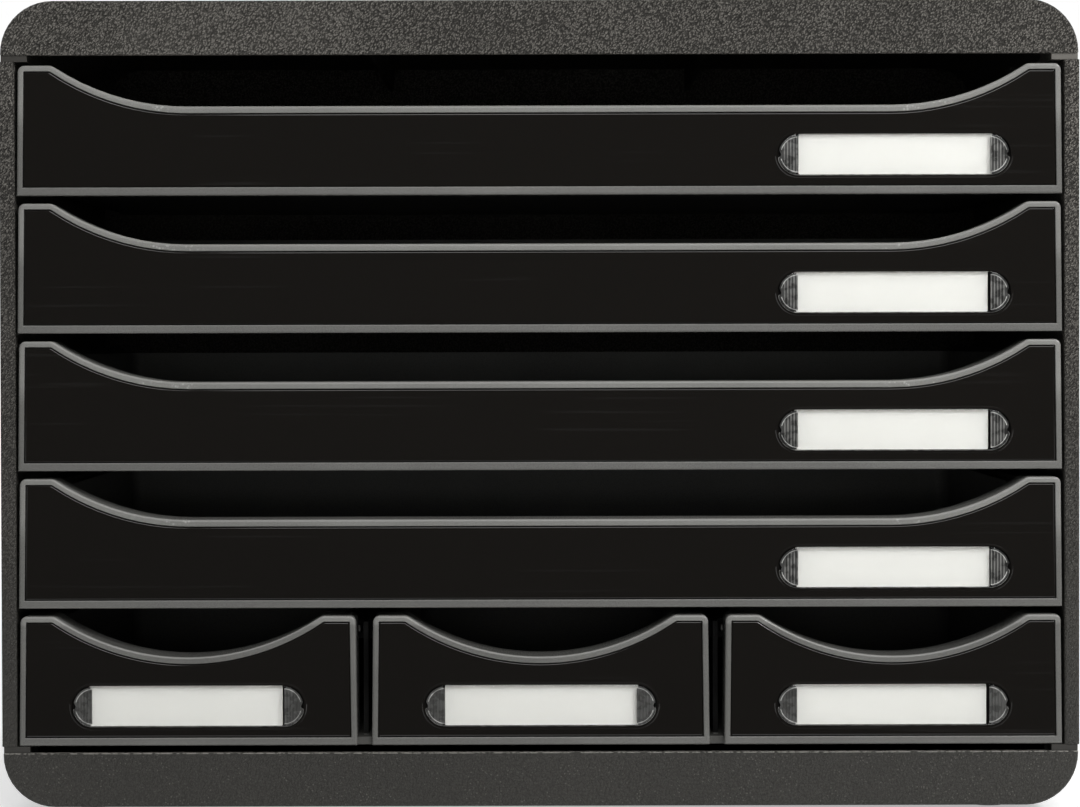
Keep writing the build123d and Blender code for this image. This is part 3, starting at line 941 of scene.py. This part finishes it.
@dataclass
class LabelHolder:
    """A drawer's clear label cover, with grip ridges and a notch at each end, and the card behind it."""

    points: int = 64
    edge: float = 0.35 * MM
    edge_steps: int = 3
    notch: float = 0.75 * MM
    notch_half: float = 0.75 * MM
    ridges: int = 5
    ridge_start: float = 0.5 * MM
    ridge_pitch: float = 1.03 * MM
    ridge_width: float = 0.5 * MM
    ridge_slope: float = 0.13 * MM
    ridge_rise: float = 0.16 * MM
    ridge_share: float = 0.90
    ridge_reach: float = 0.1 * MM
    ridge_margin: float = 0.02 * MM
    ring_inset: float = 0.55 * MM
    ring_width: float = 0.22 * MM
    glint_below: float = -0.9 * MM
    glint_normals: tuple[float, float] = (-0.95, -0.15)
    card_thickness: float = 0.20 * MM
    card_bow: float = 0.08 * MM
    card_corner: float = 0.35 * MM
    card_columns: int = 16

    def build(self, drawers: list[str]) -> None:
        """Models one cover and one card, and places a copy of each in every drawer.

        Args:
            drawers: The drawers' names.
        """
        cover = self.model_cover(*self.size(f"{drawers[0]}_label_window"))
        finishes = (
            ClearPlastic("cover_clear"),
            FrostedPlastic("cover_grip"),
            # Painted highlight for the rounded lower edge and the line round both ends.
            FrostedPlastic("cover_edge_highlight", (0.30, 0.30, 0.29, 1.0), (0.62, 0.62, 0.60, 1.0)),
            FrostedPlastic("cover_haze", (0.020, 0.020, 0.019, 1.0), (0.040, 0.040, 0.038, 1.0)),
        )
        for finish in finishes:
            cover.data.materials.append(finish.material())
        cloudy = {
            1: FrostedPlastic("cover_grip_cloudy", (0.060, 0.060, 0.057, 1.0), (0.085, 0.085, 0.081, 1.0)),
            3: FrostedPlastic("cover_haze_cloudy", (0.052, 0.052, 0.050, 1.0), (0.066, 0.066, 0.063, 1.0)),
        }
        cloudy_finishes = {slot: finish.material() for slot, finish in cloudy.items()}
        card = self.model_card(*self.size(f"{drawers[0]}_label_card"))
        card.data.materials.append(CardPaper("card_white").material())
        for drawer in drawers:
            for master, part, slot in ((cover, "window", Slot.WINDOW), (card, "card", Slot.PAPER)):
                node = f"{drawer}_label_{part}"
                low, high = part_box(node)
                piece = copy_to(master, f"{node}_piece", (low + high) / 2)
                if part == "window" and "small" in drawer:
                    for number, material in cloudy_finishes.items():
                        piece.data.materials[number] = material
                hand_over(piece, drawer, node)
        for master in (cover, card):
            bpy.data.objects.remove(master)

    def size(self, node: str) -> Vector:
        """Length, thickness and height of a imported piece."""
        low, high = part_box(node)
        return high - low

    def model_cover(self, length: float, thickness: float, height: float) -> bpy.types.Object:
        """Models the cover round the origin: a slab with round ends, its front edge rounded.

        Args:
            length: Along X.
            thickness: Along Y.
            height: Along Z.

        Returns:
            The cover, with its grip ridges in the second material slot, its edges with a painted highlight
            in the third and the hazy skin between the ridges in the fourth.
        """
        add = bpy.ops.mesh.primitive_cylinder_add
        settings = {"vertices": self.points, "radius": height / 2, "depth": thickness}
        work = Modeller("cover_master", add, rotation=(math.pi / 2, 0.0, 0.0), **settings)
        straight = (length - height) / 2
        for side in (-1.0, 1.0):
            work.pick(Pick.POINTS, lambda p, s=side: p.x * s > TINY)
            work.move((side * straight, 0.0, 0.0))
            for reach, share in ((self.notch_half, 0.6), (TINY, 0.4)):
                work.pick(Pick.POINTS, lambda p, s=side, r=reach: p.x * s > straight and abs(p.z) < r)
                work.move((-side * self.notch * share, 0.0, 0.0))
        front = -thickness / 2 + TINY
        work.pick(Pick.EDGES, lambda a, b: a.y < front and b.y < front)
        work.bevel(self.edge, self.edge_steps)
        work.pick(Pick.FACES, lambda c, n: n.y < FACES_FRONT and c.y < front)
        work.inset(self.ring_inset)
        work.inset(self.ring_width)
        self.add_ridges(work, straight, thickness)
        self.paint_edge_highlights(work, Vector((length, thickness, height)))
        return work.finish(smooth_below=25.0)

    def add_ridges(self, work: Modeller, straight: float, thickness: float) -> None:
        """Raises the grip ridges at both ends of the cover's front.

        Args:
            work: The cover in work.
            straight: Half the length of the cover's straight part.
            thickness: The cover's thickness.
        """
        first = straight + self.ridge_start
        middles = [s * (first + i * self.ridge_pitch) for s in (-1.0, 1.0) for i in range(self.ridges)]
        half = self.ridge_width / 2
        for middle in middles:
            for place in (middle - half, middle + half):
                work.cut((place, 0.0, 0.0), (1.0, 0.0, 0.0))
        front = -thickness / 2 + TINY
        work.pick(
            Pick.FACES,
            lambda c, n: n.y < FACES_FRONT
            and c.y < front
            and abs(c.z) < self.notch_half
            and any(abs(c.x - m) < self.ridge_reach for m in middles),
        )
        work.inset(self.ridge_slope, each=True)
        work.scale((1.0, 1.0, self.ridge_share))
        work.move((0.0, -self.ridge_rise, 0.0))
        work.close()
        raised = -thickness / 2 - self.ridge_rise / 2 + self.ridge_margin
        for face in work.mesh.polygons:
            if face.center.y < raised:
                face.material_index = 1
            elif face.center.y < front and abs(face.center.x) > first + half:
                face.material_index = 3
            else:
                face.material_index = 0

    def paint_edge_highlights(self, work: Modeller, size: Vector) -> None:
        """Gives the painted highlight of the third material slot to the rounded lower edge and a line round
        both ends.

        Args:
            work: The cover in work.
            size: The cover's length, thickness and height.
        """
        work.close()
        straight = (size.x - size.z) / 2
        ring_outer = size.z / 2 - self.edge - self.ring_inset
        ring_inner = ring_outer - self.ring_width
        steepest, flattest = self.glint_normals
        for face in work.mesh.polygons:
            middle = face.center
            if face.material_index == 1:
                continue
            beyond = max(abs(middle.x) - straight, 0.0)
            reach = math.hypot(beyond, middle.z)
            rounded = steepest < face.normal.y < flattest and middle.z < self.glint_below
            in_ring = ring_inner < reach < ring_outer and beyond > 0.0 and face.normal.y < FACES_FRONT
            if rounded or in_ring:
                face.material_index = 2

    def model_card(self, length: float, thickness: float, height: float) -> bpy.types.Object:
        """Models the card round the origin: a thin sheet that bows a little.

        Args:
            length: Along X.
            thickness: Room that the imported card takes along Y.
            height: Along Z.

        Returns:
            The card.
        """
        add = bpy.ops.mesh.primitive_grid_add
        settings = {"x_subdivisions": self.card_columns, "y_subdivisions": 2, "size": 1.0}
        work = Modeller("card_master", add, rotation=(math.pi / 2, 0.0, 0.0), **settings)
        work.pick(Pick.POINTS, lambda p: True)
        work.scale((length, 1.0, height))
        pitch = length / self.card_columns
        for column in range(self.card_columns + 1):
            across = -length / 2 + column * pitch
            work.pick(Pick.POINTS, lambda p, x=across: abs(p.x - x) < pitch / 4)
            share = 1.0 - (2 * across / length) ** 2
            back = (thickness - self.card_thickness) / 2
            work.move((0.0, back - self.card_bow * share, 0.0))
        corner = length / 2 - TINY
        work.pick(Pick.POINTS, lambda p: abs(p.x) > corner and abs(p.z) > height / 2 - TINY)
        bpy.ops.mesh.bevel(offset=self.card_corner, segments=3, affect="VERTICES")
        work.close()
        solid = work.piece.modifiers.new("thickness", "SOLIDIFY")
        solid.thickness = self.card_thickness
        solid.offset = 0.0
        bpy.ops.object.modifier_apply(modifier=solid.name)
        return work.finish(smooth_below=30.0)


@dataclass
class Casing:
    """The two caps, the two side panels, the back panel and the carrier of the small drawers."""

    strip_height: float = 2.1 * MM
    key_height: float = 2.0 * MM
    plate_height: float = 4.7 * MM
    # Painted light and shade: the left strip darker, the right strip and right grain peaks lighter, the
    # right side darker at its foot.
    left_strip_shaded: Colour = (0.045, 0.042, 0.037, 1.0)
    right_strip_lit: Colour = (0.135, 0.127, 0.114, 1.0)
    highlight_band: float = 0.35 * MM
    right_foot_shade: float = 0.8
    right_lit_peak: Colour = (0.255, 0.240, 0.215, 1.0)
    # Painted shade: the base cap's grain is a darker, lower-contrast copy of the casing grain, as if less
    # lit.
    shaded_base_pit: Colour = (0.041, 0.039, 0.0345, 1.0)
    shaded_base_peak: Colour = (0.106, 0.100, 0.090, 1.0)
    calm_relief: float = 0.40 * MM
    base_least_lit_share: float = 0.55
    # Painted glints on the base cap's grain.
    base_fleck_glints: float = 0.30

    def dress(self) -> None:
        """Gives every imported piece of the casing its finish."""
        grained = GrainedPlastic("casing_grain").material()
        for node in ("top_cap", "back_panel"):
            dress(node, grained)
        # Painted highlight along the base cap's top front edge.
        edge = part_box("base_cap")[1].z - self.highlight_band
        # The base cap gets a shaded copy of the casing grain, with painted glints and a painted highlight.
        base_look = {"pit": self.shaded_base_pit, "peak": self.shaded_base_peak, "relief": self.calm_relief}
        base_look |= {"least_lit_share": self.base_least_lit_share, "highlight_above": edge, "fleck_glints": self.base_fleck_glints}
        dress("base_cap", GrainedPlastic("base_grain", **base_look).material())
        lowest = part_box("base_cap")[1].z + self.strip_height
        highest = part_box("top_cap")[0].z - self.strip_height
        # Lit and shaded copies of one grained finish for the two side panels.
        sides = {
            "left": {"smooth": self.left_strip_shaded},
            "right": {"smooth": self.right_strip_lit, "foot_shade_share": self.right_foot_shade, "peak": self.right_lit_peak},
        }
        for side, look in sides.items():
            finish = GrainedPlastic(f"{side}_grain", grain_low=lowest, grain_high=highest, **look)
            dress(f"{side}_side_panel", finish.material())
        carrier_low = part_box("small_drawer_carrier")[0].z
        plate = {"plate_foot": carrier_low + self.key_height, "plate_top": carrier_low + self.plate_height}
        dress("small_drawer_carrier", CarrierPlastic("carrier_shaded", **plate).material())


@dataclass
class Drawers:
    """The seven drawers: a grey tray with its frame, and a glossy front panel in each."""

    names: list[str]

    def dress(self) -> None:
        """Gives every packed tray and front panel its finish."""
        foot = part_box("wide_drawer_4_tray")[0].z
        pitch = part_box("wide_drawer_3_tray")[0].z - foot
        tray = SatinPlastic("tray_satin", row_foot=foot, row_pitch=pitch).material()
        panel = GlossPlastic("panel_gloss").material()
        for name in self.names:
            dress(f"{name}_tray", tray)
            dress(f"{name}_front_panel", panel)


@dataclass
class Lamp:
    """A soft rectangular lamp that points at the unit."""

    name: str
    place: Triple
    width: float
    height: float
    power: float
    mirrored: bool = True

    def hang(self, target: Vector) -> None:
        """Adds the lamp to the scene.

        Args:
            target: What it points at.
        """
        data = bpy.data.lights.new(self.name, "AREA")
        data.shape = "RECTANGLE"
        data.size = self.width
        data.size_y = self.height
        data.energy = self.power
        lamp = bpy.data.objects.new(self.name, data)
        bpy.context.scene.collection.objects.link(lamp)
        lamp.location = self.place
        lamp.visible_glossy = self.mirrored
        lamp.rotation_euler = (target - lamp.location).to_track_quat("-Z", "Y").to_euler()


@dataclass
class Studio:
    """Pale floor, dark card, soft lamps, bright surroundings behind, and the camera of the photograph."""

    photo_width: int = 1080
    scale_at_front: float = 0.3288 * MM
    camera_distance: float = 1.160
    camera_height: float = 0.1559
    aim_height: float = 0.1352
    roll: float = math.radians(0.146)
    floor_radius: float = 7.0
    card_width: float = 2.4
    card_depth: float = 2.04
    card_middle: float = -1.26
    card_lift: float = 0.002
    card_rise: float = 0.6
    card_glow: Colour = (0.09, 0.09, 0.09, 1.0)
    front_level: float = 0.10
    overhead_level: float = 0.25
    lamps: tuple[Lamp, ...] = (
        Lamp("lamp_key", (0.30, -1.93, 1.03), 1.2, 0.6, 12.6),
        Lamp("lamp_right", (0.75, -0.75, 0.75), 0.3, 0.2, 6.0),
        Lamp("lamp_front", (0.0, -1.75, 0.12), 0.3, 0.2, 1.2, mirrored=False),
    )

    def build(self) -> None:
        """Builds the floor, the surroundings, the lamps and the camera."""
        self.lay_floor()
        self.stand_dark_card()
        self.light_surroundings()
        target = Vector((0.0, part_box("top_cap")[0].y, self.aim_height))
        for lamp in self.lamps:
            lamp.hang(target)
        self.aim_camera()
        bpy.context.scene.view_settings.view_transform = "Standard"

    def lay_floor(self) -> None:
        """Lays a wide pale disc under the feet."""
        add = bpy.ops.mesh.primitive_circle_add
        work = Modeller("studio_floor", add, vertices=96, radius=self.floor_radius, fill_type="NGON")
        work.piece.data.materials.append(FloorPaint("floor_pale").material())

    def stand_dark_card(self) -> None:
        """Lays and stands a dark card in front, which the glossy panels mirror and nothing else sees."""
        add = bpy.ops.mesh.primitive_plane_add
        work = Modeller("dark_card", add, size=1.0)
        work.pick(Pick.POINTS, lambda p: True)
        work.scale((self.card_width, self.card_depth, 1.0))
        work.move((0.0, self.card_middle, self.card_lift))
        work.pick(Pick.EDGES, lambda a, b: max(a.y, b.y) < self.card_middle)
        bpy.ops.mesh.extrude_region_move(TRANSFORM_OT_translate={"value": (0.0, 0.0, self.card_rise)})
        work.close()
        material = bpy.data.materials.new("card_dark")
        material.use_nodes = True
        bench = Bench(material.node_tree)
        glow = bench.node("Emission", {"Color": self.card_glow, "Strength": 1.0})
        end = bench.node("OutputMaterial")
        bench.tree.links.new(glow.outputs[0], end.inputs["Surface"])
        work.piece.data.materials.append(material)
        for kind in ("camera", "diffuse", "transmission", "shadow", "volume_scatter"):
            setattr(work.piece, f"visible_{kind}", False)

    def light_surroundings(self) -> None:
        """Soft surroundings: white behind the object, paler overhead, dim in front."""
        world = bpy.data.worlds.new("studio")
        bpy.context.scene.world = world
        world.use_nodes = True
        bench = Bench(world.node_tree)
        direction = bench.node("TexCoord").outputs["Generated"]
        behind = bench.ramp(bench.axis(direction, "Y"), -0.15, 0.55, self.front_level, 1.0)
        overhead = bench.ramp(bench.axis(direction, "Z"), 0.1, 0.9, 0.0, self.overhead_level)
        level = bench.maths("MAXIMUM", behind, overhead)
        background = bench.node("Background", {"Color": level, "Strength": 1.0})
        end = bench.node("OutputWorld")
        bench.tree.links.new(background.outputs[0], end.inputs["Surface"])

    def aim_camera(self) -> None:
        """Sets up the photograph's view: level with the unit's middle, square to its front."""
        data = bpy.data.cameras.new("photo_camera")
        camera = bpy.data.objects.new("photo_camera", data)
        bpy.context.scene.collection.objects.link(camera)
        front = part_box("wide_drawer_1_tray")[0].y
        camera.location = (0.0, front - self.camera_distance, self.camera_height)
        aim = Vector((0.0, front, self.aim_height)) - camera.location
        level = aim.to_track_quat("-Z", "Y").to_matrix()
        camera.rotation_euler = (level @ Matrix.Rotation(-self.roll, 3, "Z")).to_euler()
        data.lens = data.sensor_width * self.camera_distance / self.scale_at_front / self.photo_width
        data.clip_end = 50.0
        bpy.context.scene.camera = camera


def main() -> None:
    """Builds and dresses the sub-assemblies in order."""
    logging.basicConfig(level=logging.INFO, format="%(message)s")
    drawers = [body for body in frame["bodies"] if body != "casing"]
    Casing().dress()
    Feet().build()
    Drawers(drawers).dress()
    LabelHolder().build(drawers)
    Studio().build()


if __name__ == "__main__":
    main()
